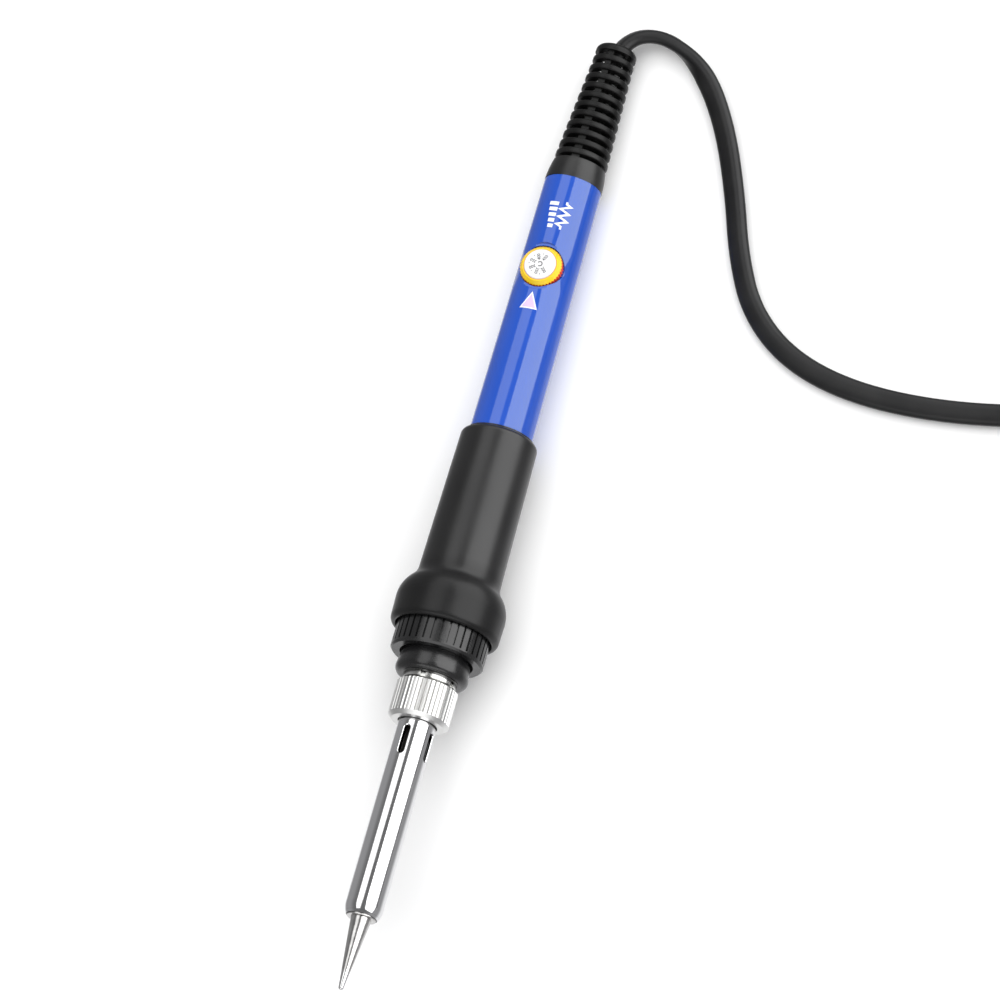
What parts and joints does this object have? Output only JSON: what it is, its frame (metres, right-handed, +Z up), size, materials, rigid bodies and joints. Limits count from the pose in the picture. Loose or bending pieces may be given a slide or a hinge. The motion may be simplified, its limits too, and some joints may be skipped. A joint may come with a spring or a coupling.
{
  "type": "soldering iron",
  "caption": "Pencil soldering iron with a conical tip in a vented steel barrel, flared rubber grip, blue handle, temperature knob, ribbed strain relief and coiled mains lead.",
  "frame": {"origin": "bottom centre of the iron, without its free cord and plug, on the bench it lies on", "axes": "+Z up, the way the knob faces; +Y along the iron towards the cord; the tip points to -Y; +X to the right seen from above with the cord end away"},
  "size_m": [0.2133, 0.2306, 0.0244],
  "materials": {
    "tip_plating": "iron-plated, bright, with a paler tinned end",
    "barrel_steel": "polished stainless steel",
    "nut_nickel": "bright nickel, knurled",
    "ferrule_steel": "bright zinc-plated",
    "collar_plastic": "semi-gloss black phenolic",
    "grip_rubber": "matte black silicone rubber",
    "blue_plastic": "high-gloss blue",
    "knob_yellow": "yellow-orange",
    "dial_white": "white with grey numbers",
    "relief_black": "matte black PVC",
    "cord_pvc": "satin black PVC, flat twin cord",
    "plug_black": "fine-grained black moulding",
    "pin_metal": "nickel-plated brass",
    "tie_plastic": "black plastic strip",
    "ceramic_white": "white alumina ceramic",
    "sleeve_fibre": "white woven glass fibre",
    "board_green": "green solder mask on glass-epoxy board",
    "component_black": "moulded epoxy",
    "component_red": "dipped film capacitor",
    "component_tan": "resistor lacquer",
    "component_blue": "glass and lacquer",
    "wire_insulation": "silicone wire insulation",
    "core_insulation": "PVC core insulation",
    "steel_plain": "plain steel"
  },
  "bodies": {
    "handle": {"threaded_ferrule": "ferrule_steel", "nipple": "collar_plastic", "locking_ring": "collar_plastic", "grip_sleeve": "grip_rubber", "handle_tube": "blue_plastic", "pot_body": "component_blue", "circuit_board": "board_green", "triac": "component_black", "capacitor": "component_red", "resistor_front": "component_tan", "resistor_rear": "component_tan", "diac": "component_blue", "heater_rod": "ceramic_white", "heater_collar": "ceramic_white", "heater_lead_left": "wire_insulation", "heater_lead_right": "wire_insulation", "lead_sleeve": "sleeve_fibre", "strain_relief": "relief_black", "inner_cord": "cord_pvc", "cord_clamp": "steel_plain", "mains_wire_left": "core_insulation", "mains_wire_right": "core_insulation", "power_cord": "cord_pvc", "plug_lead": "cord_pvc", "cord_coil": "cord_pvc", "cord_tie": "tie_plastic", "plug_body": "plug_black", "plug_relief": "plug_black", "pin_sleeve_left": "plug_black", "plug_pin_left": "pin_metal", "pin_sleeve_right": "plug_black", "plug_pin_right": "pin_metal"},
    "knob": {"temperature_knob": "knob_yellow", "dial_cap": "dial_white", "pot_shaft": "steel_plain"},
    "tip": {"tip": "tip_plating"},
    "barrel": {"barrel": "barrel_steel"},
    "nut": {"knurled_nut": "nut_nickel"}
  },
  "joints": [
    {"name": "knob_turn", "type": "hinge", "parent": "handle", "child": "knob", "pos_m": [0, 0.05574, 0.00762], "axis": [0, 0.0564, 0.9984], "range_deg": [-135, 135]},
    {"name": "tip_pull", "type": "slide", "parent": "handle", "child": "tip", "axis": [0, -0.9984, 0.0564], "range_m": [0, 0.03]},
    {"name": "barrel_slide", "type": "slide", "parent": "tip", "child": "barrel", "axis": [0, -0.9984, 0.0564], "range_m": [0, 0.005]},
    {"name": "nut_turn", "type": "hinge", "parent": "barrel", "child": "nut", "pos_m": [0, -0.04615, 0.01338], "axis": [0, -0.9984, 0.0564], "range_deg": [0, 1800]}
  ],
  "couplings": [
    {"joint": "barrel_slide", "follows": "nut_turn", "m_per_rad": 0.000159}
  ]
}
